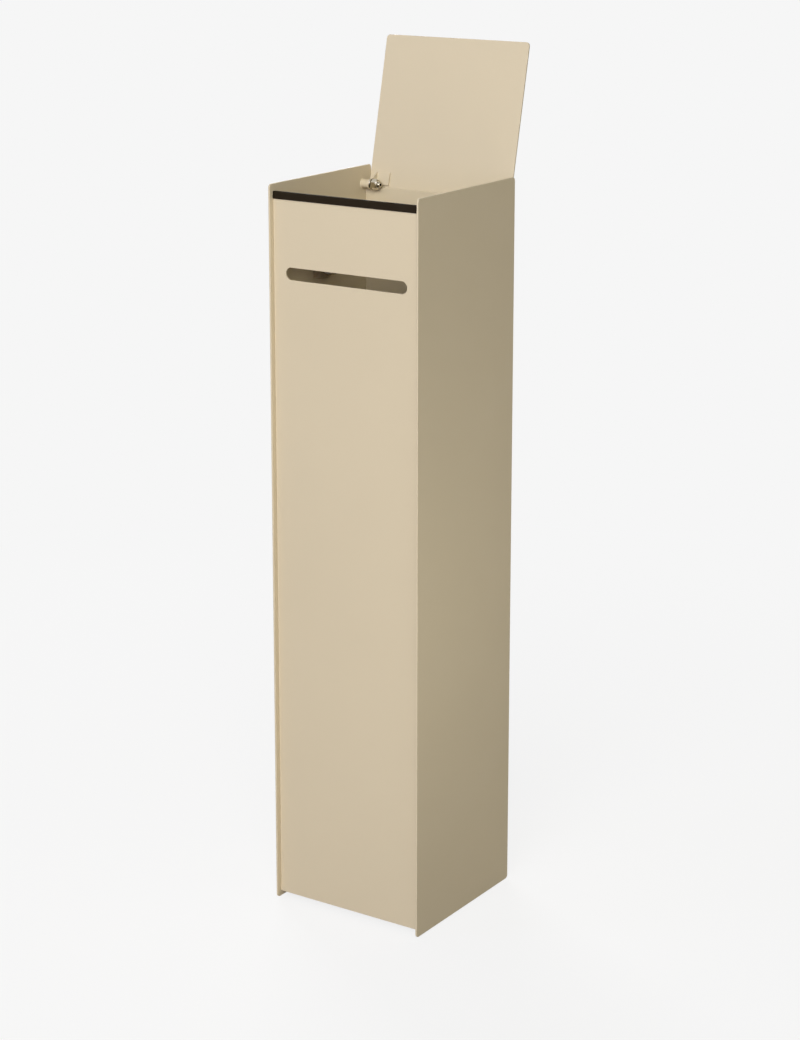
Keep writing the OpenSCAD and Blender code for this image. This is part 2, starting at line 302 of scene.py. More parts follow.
def handling_group():
    """Soft smudges from hands and cloths, and settled dust, as masks."""
    tree, given, out = new_group(
        "Handling",
        [("Smudge scale", FLOAT, 26.0), ("Dust scale", FLOAT, 900.0)],
        [("Smudge", FLOAT), ("Dust", FLOAT)],
    )
    coordinates = own_coordinates(tree)
    wiped = stretched(tree, "Wiped sideways", coordinates, (0.6, 0.6, 1.0))
    smudge = noise(tree, "Smudges", wiped, given["Smudge scale"], 4.0, 0.62)
    feed(tree, out["Smudge"], spread(tree, "Smudge", smudge, 0.46, 0.72))
    flecks = noise(tree, "Flecks", coordinates, given["Dust scale"], 2.0, 0.7)
    drifts = noise(tree, "Drifts", coordinates, 34.0, 3.0, 0.6)
    dust = maths(
        tree, "MULTIPLY", "Dust",
        spread(tree, "Fleck", flecks, 0.58, 0.7),
        spread(tree, "Drift", drifts, 0.42, 0.66),
    )
    feed(tree, out["Dust"], dust)
    return tree


def turned_grain_group():
    """Fine lines round the X axis, as turning or grinding leaves them on a round piece."""
    tree, given, out = new_group(
        "Turned grain",
        [("Line scale", FLOAT, 5200.0), ("Blur", FLOAT, 0.02)],
        [("Lines", FLOAT), ("Cloud", FLOAT)],
    )
    coordinates = own_coordinates(tree)
    squeezed = tree.nodes.new("ShaderNodeCombineXYZ")
    parts = tree.nodes.new("ShaderNodeSeparateXYZ")
    feed(tree, parts.inputs[0], coordinates)
    feed(tree, squeezed.inputs["X"], parts.outputs["X"])
    for axis in ("Y", "Z"):
        feed(
            tree, squeezed.inputs[axis],
            maths(tree, "MULTIPLY", "Along " + axis, parts.outputs[axis], given["Blur"]),
        )
    lines = noise(tree, "Lines", squeezed.outputs["Vector"], given["Line scale"], 3.0, 0.65)
    feed(tree, out["Lines"], lines)
    feed(tree, out["Cloud"], noise(tree, "Cloud", coordinates, 240.0, 3.0, 0.6))
    return tree


def recess_shade_group():
    """How deep in a corner or gap a spot lies: 1 in the tightest, 0 in the open. It masks painted
    shade in the hollows.
    """
    tree, given, out = new_group(
        "Painted recess shade", [("Reach", FLOAT, 0.0022), ("Break up", FLOAT, 0.3)], [("Painted shade", FLOAT)]
    )
    hollow = tree.nodes.new("ShaderNodeAmbientOcclusion")
    hollow.label = "Open share"
    hollow.samples = 8
    feed(tree, hollow.inputs["Distance"], given["Reach"])
    deep = spread(tree, "Deep", hollow.outputs["AO"], 0.82, 0.42)
    coordinates = own_coordinates(tree)
    patches = noise(tree, "Patches", coordinates, 700.0, 3.0, 0.6)
    broken = maths(tree, "SUBTRACT", "Whole share", 1.0, given["Break up"])
    share = maths(tree, "MULTIPLY_ADD", "Share", patches, given["Break up"], broken)
    feed(tree, out["Painted shade"], maths(tree, "MULTIPLY", "Broken painted shade", deep, share))
    return tree


EDGE_WEAR_AND_HIGHLIGHT = edge_wear_and_highlight_group()
RECESS_SHADE = recess_shade_group()
POWDER_TEXTURE = powder_texture_group()
HANDLING = handling_group()
TURNED_GRAIN = turned_grain_group()


def place_group(tree, group, **sockets):
    node = tree.nodes.new("ShaderNodeGroup")
    node.node_tree = group
    node.label = group.name
    for name, value in sockets.items():
        feed(tree, node.inputs[name.replace("_", " ")], value)
    return node.outputs


def new_material(name):
    """A material with only its output and a Principled BSDF."""
    material = bpy.data.materials.new(name)
    material.use_nodes = True
    tree = material.node_tree
    shader = tree.nodes["Principled BSDF"]
    return material, tree, shader


def bump(tree, height, distance, strength):
    node = tree.nodes.new("ShaderNodeBump")
    node.inputs["Distance"].default_value = distance
    node.inputs["Strength"].default_value = strength
    feed(tree, node.inputs["Height"], height)
    return node.outputs["Normal"]


def linear(red, green, blue):
    """A colour written in 0..255 as it shows on a screen, for a shader's socket."""
    def channel(value):
        value /= 255.0
        return value / 12.92 if value <= 0.04045 else ((value + 0.055) / 1.055) ** 2.4
    return (channel(red), channel(green), channel(blue), 1.0)


def darkened(colour, share):
    return tuple(share * c for c in colour[:3]) + (1.0,)


def powder_coat_material(name, colour, thin_coat_and_lit_edge_colour, dust_share):
    """Matt warm beige powder coat on sheet steel, its edges lightened for the thinner coat and as a
    painted highlight.
    """
    material, tree, shader = new_material(name)
    skin = place_group(tree, POWDER_TEXTURE)
    handling = place_group(tree, HANDLING)
    edge = place_group(tree, EDGE_WEAR_AND_HIGHLIGHT, Width=0.0007, Break_up=0.35)["Edge"]
    drift = spread(tree, "Tone", skin["Tone"], 0.3, 0.7, 0.0, 0.55)
    base = mix_colour(tree, "Tone drift", drift, colour, darkened(colour, 0.955))
    base = tinted(tree, "Faint specks", skin["Speck"], 0.10, base, darkened(colour, 0.8))
    # Painted highlight in part: the edges are lightened where the rounded coat catches light, as
    # well as where the coat runs thin.
    base = tinted(tree, "Thin and highlighted edges", edge, 0.55, base, thin_coat_and_lit_edge_colour)
    base = tinted(tree, "Dust", handling["Dust"], dust_share, base, linear(226, 220, 208))
    feed(tree, shader.inputs["Base Color"], base)
    rough = spread(tree, "Smudged roughness", handling["Smudge"], 0.0, 1.0, 0.56, 0.49)
    rough = maths(tree, "MULTIPLY_ADD", "Grain roughness", skin["Height"], 0.10, rough)
    feed(tree, shader.inputs["Roughness"], rough)
    feed(tree, shader.inputs["Normal"], bump(tree, skin["Height"], 0.0001, 0.5))
    shader.inputs["Specular IOR Level"].default_value = 0.35
    return material


def rubber_material(name, colour, worn_colour, ribs):
    """Matt rubber with the fine lines of its extrusion or mould."""
    material, tree, shader = new_material(name)
    handling = place_group(tree, HANDLING, Smudge_scale=90.0, Dust_scale=1700.0)
    edge = place_group(tree, EDGE_WEAR_AND_HIGHLIGHT, Width=0.0005, Break_up=0.6, Break_up_scale=900.0)["Edge"]
    coordinates = own_coordinates(tree)
    drawn = stretched(tree, "Extrusion lines", coordinates, ribs)
    lines = noise(tree, "Lines", drawn, 1.0, 3.0, 0.6)
    pores = noise(tree, "Pores", coordinates, 3200.0, 2.0, 0.6)
    bloom = spread(tree, "Bloom share", lines, 0.35, 0.7, 0.0, 0.35)
    base = mix_colour(tree, "Bloom", bloom, colour, worn_colour)
    base = tinted(tree, "Rubbed edges", edge, 0.5, base, worn_colour)
    base = tinted(tree, "Dust", handling["Dust"], 0.07, base, linear(150, 140, 126))
    feed(tree, shader.inputs["Base Color"], base)
    rough = spread(tree, "Rubbed roughness", handling["Smudge"], 0.0, 1.0, 0.82, 0.68)
    feed(tree, shader.inputs["Roughness"], rough)
    height = maths(tree, "MULTIPLY_ADD", "Lines and pores", lines, 0.6, pores)
    feed(tree, shader.inputs["Normal"], bump(tree, height, 0.00005, 0.5))
    shader.inputs["Specular IOR Level"].default_value = 0.14
    return material


def bright_steel_material(name, colour, dull_colour, roughness, anisotropy):
    """Bare bright steel with turning lines, a slightly clouded plating, worn edges lightened further
    as a painted highlight, and painted shade in its hollows.
    """
    material, tree, shader = new_material(name)
    grain = place_group(tree, TURNED_GRAIN)
    edge = place_group(tree, EDGE_WEAR_AND_HIGHLIGHT, Width=0.0004, Break_up=0.4, Break_up_scale=1500.0)["Edge"]
    cloud = spread(tree, "Cloud share", grain["Cloud"], 0.35, 0.7)
    base = mix_colour(tree, "Cloud", cloud, colour, dull_colour)
    # Painted highlight as well as wear: the edges are lightened towards near white.
    base = tinted(tree, "Worn and highlighted edges", edge, 0.6, base, linear(246, 242, 232))
    # Painted shade: the occlusion mask darkens the hollows between washer, nut, collar and stud to
    # dark brown.
    painted_shade = place_group(tree, RECESS_SHADE)["Painted shade"]
    base = tinted(tree, "Painted shade", painted_shade, 0.9, base, linear(58, 50, 38))
    feed(tree, shader.inputs["Base Color"], base)
    shader.inputs["Metallic"].default_value = 1.0
    shader.inputs["Anisotropic"].default_value = anisotropy
    rough = spread(
        tree, "Line roughness", grain["Lines"], 0.3, 0.7, roughness - 0.06, roughness + 0.08
    )
    feed(tree, shader.inputs["Roughness"], rough)
    feed(tree, shader.inputs["Normal"], bump(tree, grain["Lines"], 0.00002, 0.35))
    return material


def nylon_material(name, colour):
    """Natural nylon: milky, smooth, with faint flow marks."""
    material, tree, shader = new_material(name)
    handling = place_group(tree, HANDLING, Smudge_scale=120.0)
    edge = place_group(tree, EDGE_WEAR_AND_HIGHLIGHT, Width=0.0004, Break_up=0.5)["Edge"]
    coordinates = own_coordinates(tree)
    flow = noise(tree, "Flow marks", coordinates, 260.0, 4.0, 0.6)
    marks = spread(tree, "Flow share", flow, 0.35, 0.7, 0.0, 0.6)
    base = mix_colour(tree, "Flow", marks, colour, darkened(colour, 0.9))
    base = tinted(tree, "Rubbed edges", edge, 0.4, base, linear(240, 238, 232))
    feed(tree, shader.inputs["Base Color"], base)
    rough = spread(tree, "Handled roughness", handling["Smudge"], 0.0, 1.0, 0.42, 0.34)
    feed(tree, shader.inputs["Roughness"], rough)
    feed(tree, shader.inputs["Normal"], bump(tree, flow, 0.00004, 0.3))
    shader.inputs["Subsurface Weight"].default_value = 0.12
    shader.inputs["Subsurface Radius"].default_value = (0.0012, 0.0010, 0.0008)
    return material


BEIGE = linear(212, 199, 173)
POWDER_COAT = powder_coat_material("Beige powder coat", BEIGE, linear(232, 220, 198), 0.10)
# Painted shade in part: the base plate inside gets a slightly darker copy of the beige coat, with
# more settled dust.
POWDER_COAT_SHADED_INSIDE = powder_coat_material(
    "Beige powder coat darkened inside", linear(211, 196, 170), linear(228, 215, 192), 0.25
)
# Painted shade: the cradles get a darker copy of the beige coat, standing for the shade inside the
# column.
POWDER_COAT_SHADED_CRADLE = powder_coat_material(
    "Beige powder coat darkened as painted shade", linear(158, 141, 112), linear(186, 170, 142), 0.2
)
TRIM_RUBBER = rubber_material(
    "Dark brown trim rubber", linear(27, 19, 7), linear(39, 30, 15), (30.0, 2600.0, 2600.0)
)
FOOT_RUBBER = rubber_material(
    "Dark grey foot rubber", linear(52, 48, 44), linear(84, 79, 73), (420.0, 420.0, 1800.0)
)
ZINC_STEEL = bright_steel_material(
    "Bright zinc-plated steel", linear(210, 202, 184), linear(184, 175, 156), 0.12, 0.1
)
GROUND_STEEL = bright_steel_material(
    "Ground stainless steel", linear(206, 203, 198), linear(180, 177, 171), 0.3, 0.45
)
NYLON = nylon_material("Natural nylon", linear(224, 220, 208))


# Making meshes

def new_piece(name, points, faces, material, body, slot, *nodes):
    """A piece from points in millimetres. It rides on a body and stands for CAD nodes."""
    mesh = bpy.data.meshes.new(name)
    mesh.from_pydata([Vector(p) * MM for p in points], [], faces)
    piece = bpy.data.objects.new(name, mesh)
    bpy.context.scene.collection.objects.link(piece)
    mend = bmesh.new()
    mend.from_mesh(mesh)
    bmesh.ops.remove_doubles(mend, verts=mend.verts, dist=0.002 * MM)
    bmesh.ops.recalc_face_normals(mend, faces=mend.faces)
    mend.to_mesh(mesh)
    mend.free()
    mesh.materials.append(material)
    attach(piece, body)
    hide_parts(*nodes)
    return piece


def apply_modifiers(piece):
    """Makes the piece's modifiers part of its mesh."""
    bpy.context.view_layer.update()
    graph = bpy.context.evaluated_depsgraph_get()
    made = bpy.data.meshes.new_from_object(piece.evaluated_get(graph))
    piece.modifiers.clear()
    piece.data = made


def round_edges(piece, radius, angle=40.0, segments=3):
    """Rounds every edge sharper than angle, and keeps the flats flat in the shading."""
    bevel = piece.modifiers.new("Rounded edges", "BEVEL")
    bevel.width = radius * MM
    bevel.segments = segments
    bevel.limit_method = "ANGLE"
    bevel.angle_limit = math.radians(angle)
    bevel.use_clamp_overlap = True
    apply_modifiers(piece)
    for polygon in piece.data.polygons:
        polygon.use_smooth = True
    weighted = piece.modifiers.new("Flat faces", "WEIGHTED_NORMAL")
    weighted.weight = 100
    apply_modifiers(piece)


def smooth_to(piece, angle):
    """Shades the piece smooth, with creases at edges sharper than angle."""
    for polygon in piece.data.polygons:
        polygon.use_smooth = True
    piece.data.set_sharp_from_angle(angle=math.radians(angle))


def give_thickness(piece, thickness, towards=None, inside=None):
    """Thickens an open sheet in the direction towards, or to the side where the point inside is."""
    work = bmesh.new()
    work.from_mesh(piece.data)
    work.faces.ensure_lookup_table()
    face = work.faces[0]
    if inside is not None:
        face = max(work.faces, key=lambda f: f.calc_area())
        towards = inside - face.calc_center_median()
    if face.normal.dot(Vector(towards)) < 0:
        bmesh.ops.reverse_faces(work, faces=work.faces)
    work.to_mesh(piece.data)
    work.free()
    solid = piece.modifiers.new("Sheet", "SOLIDIFY")
    solid.thickness = thickness * MM
    solid.offset = 1.0
    solid.use_even_offset = True
    apply_modifiers(piece)


def arc(centre, radius, start, end, steps):
    """Points on an arc in a plane, angles in degrees, both ends included."""
    return [
        (
            centre[0] + radius * math.cos(math.radians(start + (end - start) * i / steps)),
            centre[1] + radius * math.sin(math.radians(start + (end - start) * i / steps)),
        )
        for i in range(steps + 1)
    ]


def rounded_rectangle(low, high, radius, steps=10):
    """The outline of a rectangle with round corners, counterclockwise from the lower left."""
    (x0, y0), (x1, y1) = low, high
    corners = [
        ((x0 + radius, y0 + radius), 180), ((x1 - radius, y0 + radius), 270),
        ((x1 - radius, y1 - radius), 0), ((x0 + radius, y1 - radius), 90),
    ]
    return [p for centre, start in corners for p in arc(centre, radius, start, start + 90, steps)]


def on_side(side, points):
    """Points drawn from the left side panel's inner face along +X, on either side."""
    return [(side * (WALL_X - x), y, z) for x, y, z in points]


LID_TURN = Matrix.Rotation(math.radians(-OPEN_ANGLE), 3, "X")


def swing_open(points):
    """Points drawn with the lid closed, measured from the hinge axis, on the open lid."""
    hinge = Vector((0, *HINGE_AXIS))
    return [tuple(LID_TURN @ Vector((x, y, z)) + hinge) for x, y, z in points]


def outline_faces(*outlines):
    """One face for each outline, whose points follow one another in the piece's list."""
    faces, first = [], 0
    for outline in outlines:
        faces.append(tuple(range(first, first + len(outline))))
        first += len(outline)
    return faces


def ribbon_faces(first, spans):
    """The faces of a bent ribbon, whose points come in pairs from number first on."""
    return [(a, a + 1, a + 3, a + 2) for a in range(first, first + 2 * spans, 2)]


def turned_piece(rings, closed, steps=72):
    """Points and faces of a piece turned about the X axis. A ring is (x, radius), or
    (x, radius at an angle); closed joins the last ring to the first, for a piece with a bore."""
    points, faces = [], []
    for x, radius in rings:
        for i in range(steps):
            angle = 2 * math.pi * i / steps
            r = radius(angle) if callable(radius) else radius
            points.append((x, r * math.cos(angle), r * math.sin(angle)))
    spans = len(rings) if closed else len(rings) - 1
    for k in range(spans):
        a, b = k * steps, (k + 1) % len(rings) * steps
        faces += [
            (a + i, a + (i + 1) % steps, b + (i + 1) % steps, b + i) for i in range(steps)
        ]
    if not closed:
        faces.append(tuple(range(steps)))
        faces.append(tuple((len(rings) - 1) * steps + i for i in range(steps)))
    return points, faces


def hexagon(flat, limit):
    """The radius of a hexagon at an angle, cut back to a round of radius limit."""
    def radius(angle):
        off = (math.degrees(angle) + 30.0) % 60.0 - 30.0
        return min(flat / math.cos(math.radians(off)), limit)
    return radius


def onto_axis(points, axis):
    """Points drawn about the X axis, moved to the axis at that Y and Z."""
    y, z = axis
    return [(px, py + y, pz + z) for px, py, pz in points]


def round_piece(side, axis, name, rings, closed, material, body, slot, node, crease=32.0):
    """A turned piece on the hinge or spindle axis, its rings measured from the side panel."""
    points, faces = turned_piece(rings, closed)
    points = on_side(side, onto_axis(points, axis))
    piece = new_piece(name, points, faces, material, body, slot, node)
    smooth_to(piece, crease)


# Sheet steel panels

def side_panel(side):
    name = SIDE_NAMES[side] + "_side_panel"
    outline = rounded_rectangle(
        (-COLUMN_D / 2, FLOOR_GAP), (COLUMN_D / 2, COLUMN_TOP), PANEL_CORNER_R
    )
    points = [(side * WALL_X, y, z) for y, z in outline]
    panel = new_piece(
        name + "_sheet", points, outline_faces(points), POWDER_COAT, "cabinet", "paint", name
    )
    give_thickness(panel, SHEET_T, (side, 0, 0))
    round_edges(panel, COAT_ROUND)


def front_panel():
    """The front panel, as an upper and a lower face that meet at the ends of the slot."""
    reach = (SLOT_L - SLOT_H) / 2
    half = SLOT_H / 2
    right_up = arc((reach, SLOT_Z), half, 0, 90, 12)
    left_up = arc((-reach, SLOT_Z), half, 90, 180, 12)
    left_down = arc((-reach, SLOT_Z), half, 180, 270, 12)
    right_down = arc((reach, SLOT_Z), half, 270, 360, 12)
    upper = [(-WALL_X, SLOT_Z)] + list(reversed(right_up + left_up)) + [
        (WALL_X, SLOT_Z), (WALL_X, FRONT_TOP_Z), (-WALL_X, FRONT_TOP_Z)
    ]
    lower = [(-WALL_X, SLOT_Z)] + left_down + right_down + [
        (WALL_X, SLOT_Z), (WALL_X, LOWER_EDGE_Z), (-WALL_X, LOWER_EDGE_Z)
    ]
    points = [(x, FRONT_Y, z) for x, z in upper + lower]
    panel = new_piece(
        "front_panel_sheet", points, outline_faces(upper, lower), POWDER_COAT, "cabinet", "paint",
        "front_panel",
    )
    give_thickness(panel, SHEET_T, (0, 1, 0))
    round_edges(panel, COAT_ROUND)


def plain_sheet(node, corners, towards, material):
    panel = new_piece(
        node + "_sheet", corners, outline_faces(corners), material, "cabinet", "paint", node
    )
    give_thickness(panel, SHEET_T, towards)
    round_edges(panel, COAT_ROUND)


def back_panel():
    corners = [
        (-WALL_X, BACK_INNER_Y, LOWER_EDGE_Z), (WALL_X, BACK_INNER_Y, LOWER_EDGE_Z),
        (WALL_X, BACK_INNER_Y, BACK_TOP_Z), (-WALL_X, BACK_INNER_Y, BACK_TOP_Z),
    ]
    plain_sheet("back_panel", corners, (0, 1, 0), POWDER_COAT)


def base_plate():
    front = FRONT_Y + SHEET_T
    corners = [
        (-WALL_X, front, LOWER_EDGE_Z), (WALL_X, front, LOWER_EDGE_Z),
        (WALL_X, BACK_INNER_Y, LOWER_EDGE_Z), (-WALL_X, BACK_INNER_Y, LOWER_EDGE_Z),
    ]
    # The base plate wears the slightly darker inside copy of the coat, as painted shade.
    plain_sheet("base_plate", corners, (0, 0, 1), POWDER_COAT_SHADED_INSIDE)


def lid():
    outline = rounded_rectangle((-LID_W / 2, LID_FRONT), (LID_W / 2, LID_BACK), LID_CORNER_R)
    points = swing_open([(x, y, LID_UNDER) for x, y in outline])
    panel = new_piece(
        "lid_sheet", points, outline_faces(points), POWDER_COAT, "lid", "paint", "lid"
    )
    give_thickness(panel, SHEET_T, LID_TURN @ Vector((0, 0, 1)))
    round_edges(panel, COAT_ROUND)


# Hinge. A round piece's rings are (distance from the side panel, radius); the small steps
# between them round its edges.

def where_line_meets_circle(start, end, radius):
    """Where the line from start, inside the circle about the origin, to end leaves that circle."""
    dx, dy = end[0] - start[0], end[1] - start[1]
    a = dx * dx + dy * dy
    b = 2 * (start[0] * dx + start[1] * dy)
    c = start[0] ** 2 + start[1] ** 2 - radius ** 2
    t = (-b + math.sqrt(b * b - 4 * a * c)) / (2 * a)
    return start[0] + t * dx, start[1] + t * dy


def lid_bracket(side):
    """The bracket's outer skin: ear with its hole, bend and leg, then thickened inwards."""
    name = SIDE_NAMES[side] + "_lid_bracket"
    stop_angle = math.degrees(math.atan2(STOP_POINT[1], STOP_POINT[0]))
    far = (-BRACKET_FOOT - BRACKET_L, BEND_START)
    near = (-BRACKET_FOOT, BEND_START)
    flank_start = where_line_meets_circle(FLANK_POINT, far, EAR_R)
    flank_angle = math.degrees(math.atan2(flank_start[1], flank_start[0]))
    upper = (
        arc((0, 0), EAR_R, 0, stop_angle, 12) + [STOP_POINT, near, far]
        + arc((0, 0), EAR_R, flank_angle, 180, 8) + arc((0, 0), EAR_HOLE_R, 180, 0, 24)
    )
    lower = arc((0, 0), EAR_R, 180, 360, 32) + arc((0, 0), EAR_HOLE_R, 360, 180, 24)
    points = [(EAR_X, y, z) for y, z in upper + lower]
    leg_x = EAR_X + BRACKET_T + BEND_R
    bend = arc((leg_x, BEND_START), BEND_R + BRACKET_T, 180, 90, 8)
    bend.append((leg_x + BRACKET_LEG - BEND_R, BEND_START + BEND_R + BRACKET_T))
    faces = outline_faces(upper, lower) + ribbon_faces(len(points), len(bend) - 1)
    for x, z in bend:
        points += [(x, far[0], z), (x, near[0], z)]
    bracket = new_piece(
        name + "_sheet", swing_open(on_side(side, points)), faces, POWDER_COAT, "lid", "paint", name
    )
    give_thickness(bracket, BRACKET_T, (-side, 0, 0))
    round_edges(bracket, SMALL_COAT_ROUND)


def hinge_post(side):
    """The painted post, with the paint's small fillet where it stands on the side panel."""
    name = SIDE_NAMES[side] + "_hinge_post"
    wide = POST_R + PAINT_FILLET_R
    fillet = arc((PAINT_FILLET_R, wide), PAINT_FILLET_R, 180, 270, 6)
    rim = arc((POST_L - POST_RIM_R, POST_R - POST_RIM_R), POST_RIM_R, 90, 0, 6)
    mouth = [(POST_L, STUD_R + 0.25), (POST_L - 0.25, STUD_R), (POST_SOLID_L, STUD_R)]
    rings = [(0.0, wide)] + fillet[1:] + rim + mouth
    round_piece(
        side, HINGE_AXIS, name + "_turned", rings, False, POWDER_COAT, "cabinet", "paint", name, 50.0
    )


def hinge_stud(side):
    """The stud with its rolled thread, chamfered at the tip, and the socket for a key in its end."""
    name = SIDE_NAMES[side] + "_hinge_stud"
    rings_per_turn = 8
    length = STUD_END_X - POST_SOLID_L
    count = int(length / THREAD_PITCH * rings_per_turn)
    rings = []
    for k in range(count + 1):
        x = POST_SOLID_L + length * k / count

        def radius(angle, x=x):
            turn = (x / THREAD_PITCH - angle / (2 * math.pi)) % 1.0
            from_crest = abs(2 * turn - 1)
            thread = STUD_R - THREAD_DEPTH * min(1.0, max(0.0, 1.15 * from_crest - 0.1))
            tip = STUD_R - 0.02 - max(0.0, 0.5 - (STUD_END_X - x))
            return min(thread, tip)

        rings.append((x, radius))
    rings += [
        (STUD_END_X, hexagon(SOCKET_FLATS / 2 + 0.12, STUD_R)),
        (STUD_END_X - 0.12, hexagon(SOCKET_FLATS / 2, STUD_R)),
        (STUD_END_X - SOCKET_DEEP, hexagon(SOCKET_FLATS / 2, STUD_R)),
    ]
    round_piece(
        side, HINGE_AXIS, name + "_threaded", rings, False, ZINC_STEEL, "cabinet", "zinc_steel", name
    )


def hinge_washer(side):
    name = SIDE_NAMES[side] + "_hinge_washer"
    end = WASHER_X + WASHER_T
    rings = [
        (WASHER_X, STUD_R + 0.1), (WASHER_X, WASHER_R - 0.25), (WASHER_X + 0.08, WASHER_R - 0.08),
        (WASHER_X + 0.25, WASHER_R), (end - 0.35, WASHER_R), (end - 0.1, WASHER_R - 0.1),
        (end, WASHER_R - 0.4), (end, STUD_R + 0.2), (end - 0.1, STUD_R + 0.1),
    ]
    round_piece(
        side, HINGE_AXIS, name + "_stamped", rings, True, ZINC_STEEL, "cabinet", "zinc_steel", name
    )


def hinge_nut(side):
    """The locking nut: a chamfered hexagon, a rolled collar and its nylon ring."""
    name = SIDE_NAMES[side] + "_hinge_nut"
    flat = NUT_FLATS / 2
    corner = flat / math.cos(math.radians(30))
    top = NUT_X + NUT_HEX_H
    end = top + NUT_COLLAR_H
    chamfer = corner - flat + 0.1
    slope = math.tan(math.radians(30))
    rings = [(NUT_X, STUD_R + 0.15), (NUT_X, flat - 0.1)]
    for k in range(5):
        inset = chamfer * (1 - k / 4)
        rings.append((NUT_X + (chamfer - inset) * slope, hexagon(flat, corner - inset)))
    for k in range(5):
        inset = chamfer * k / 4
        rings.append((top - (chamfer - inset) * slope, hexagon(flat, corner - inset)))
    collar_r = flat - 0.3
    rings += [
        (top, collar_r + 0.1), (top + 0.1, collar_r), (end - 0.4, collar_r),
        (end - 0.2, collar_r - 0.06), (end - 0.05, collar_r - 0.25), (end, collar_r - 0.5),
        (end - 0.05, collar_r - 0.78), (end - 0.3, collar_r - 0.8),
        (end - 0.3, STUD_R + 0.3), (end - 0.6, STUD_R + 0.15),
    ]
    round_piece(
        side, HINGE_AXIS, name + "_hexagon", rings, True, ZINC_STEEL, "cabinet", "zinc_steel", name,
        20.0,
    )
    insert = [
        (end - 0.32, STUD_R - 0.05), (end - 0.32, collar_r - 0.8), (end - 0.12, collar_r - 0.82),
        (end - 0.08, collar_r - 0.95), (end - 0.1, STUD_R + 0.12), (end - 0.2, STUD_R - 0.05),
    ]
    round_piece(
        side, HINGE_AXIS, name + "_ring", insert, True, NYLON, "cabinet", "bush_nylon", name
    )


# Spindle

def spindle_cradle(side):
    """The channel's outer skin: flank, bend, web with the notch, bend, flank."""
    name = SIDE_NAMES[side] + "_spindle_cradle"
    web_y = CRADLE_HALF_W - CRADLE_BEND_R
    plan = [(0.0, -CRADLE_HALF_W)]
    plan += arc((CRADLE_OUT - CRADLE_BEND_R, -web_y), CRADLE_BEND_R, -90, 0, 6)
    points, faces = [], []
    for half in (1, -1):
        faces += ribbon_faces(len(points), len(plan) - 1)
        for x, y in plan:
            points += [(x, half * y, CRADLE_LOW), (x, half * y, CRADLE_HIGH)]
    mouth = SEAT_R + NOTCH_BEVEL
    web = [(-web_y, CRADLE_LOW), (web_y, CRADLE_LOW), (web_y, CRADLE_HIGH), (mouth, CRADLE_HIGH)]
    web += [(SEAT_R, CRADLE_HIGH - NOTCH_BEVEL)] + arc((0, 0), SEAT_R, 0, -180, 36)
    web += [(-SEAT_R, CRADLE_HIGH - NOTCH_BEVEL), (-mouth, CRADLE_HIGH), (-web_y, CRADLE_HIGH)]
    first = len(points)
    points += [(CRADLE_OUT, y, z) for y, z in web]
    faces.append(tuple(range(first, len(points))))
    points = on_side(side, onto_axis(points, SPINDLE_AXIS))
    # The cradle wears the darker copy of the coat as painted shade.
    cradle = new_piece(
        name + "_sheet", points, faces, POWDER_COAT_SHADED_CRADLE, "cabinet", "paint", name
    )
    give_thickness(cradle, SHEET_T, inside=Vector((side * WALL_X, *SPINDLE_AXIS)) * MM)
    round_edges(cradle, SMALL_COAT_ROUND)


def spindle_bush(side):
    name = SIDE_NAMES[side] + "_spindle_bush"
    start, end = BUSH_X, BUSH_X + BUSH_L
    inner, outer = start + BUSH_FLANGE_T, end - BUSH_FLANGE_T
    rim = BUSH_FLANGE_R
    rings = [
        (start, ROD_R + 0.45), (start, rim - 0.4), (start + 0.12, rim - 0.12),
        (start + 0.4, rim), (inner - 0.3, rim), (inner - 0.08, rim - 0.1), (inner, rim - 0.3),
        (inner, BUSH_R), (outer, BUSH_R),
        (outer, rim - 0.3), (outer + 0.08, rim - 0.1), (outer + 0.3, rim), (end - 0.4, rim),
        (end - 0.12, rim - 0.12), (end, rim - 0.4), (end, ROD_R + 0.45), (end - 0.4, ROD_R + 0.05),
        (start + 0.4, ROD_R + 0.05),
    ]
    round_piece(
        side, SPINDLE_AXIS, name + "_moulded", rings, True, NYLON, "spindle_bushes", "bush_nylon",
        name,
    )


def spindle_rod():
    """The ground rod with its two grooves and chamfered ends."""
    groove = CLIP_X - (WALL_X - ROD_HALF_L)
    groove_end = groove + CLIP_T
    half = [
        (0.0, ROD_R - 0.75), (0.18, ROD_R - 0.5), (0.6, ROD_R), (groove - 0.1, ROD_R),
        (groove, ROD_R - 0.06), (groove, GROOVE_R + 0.06), (groove + 0.06, GROOVE_R),
        (groove_end - 0.06, GROOVE_R), (groove_end, GROOVE_R + 0.06), (groove_end, ROD_R - 0.06),
        (groove_end + 0.1, ROD_R), (24.0, ROD_R), (46.0, ROD_R),
    ]
    rings = [(-ROD_HALF_L + x, r) for x, r in half]
    rings += [(ROD_HALF_L - x, r) for x, r in reversed(half)]
    points, faces = turned_piece(rings, False)
    points = onto_axis(points, SPINDLE_AXIS)
    rod = new_piece(
        "spindle_rod_ground", points, faces, GROUND_STEEL, "spindle", "spindle_steel", "spindle_rod"
    )
    smooth_to(rod, 32.0)


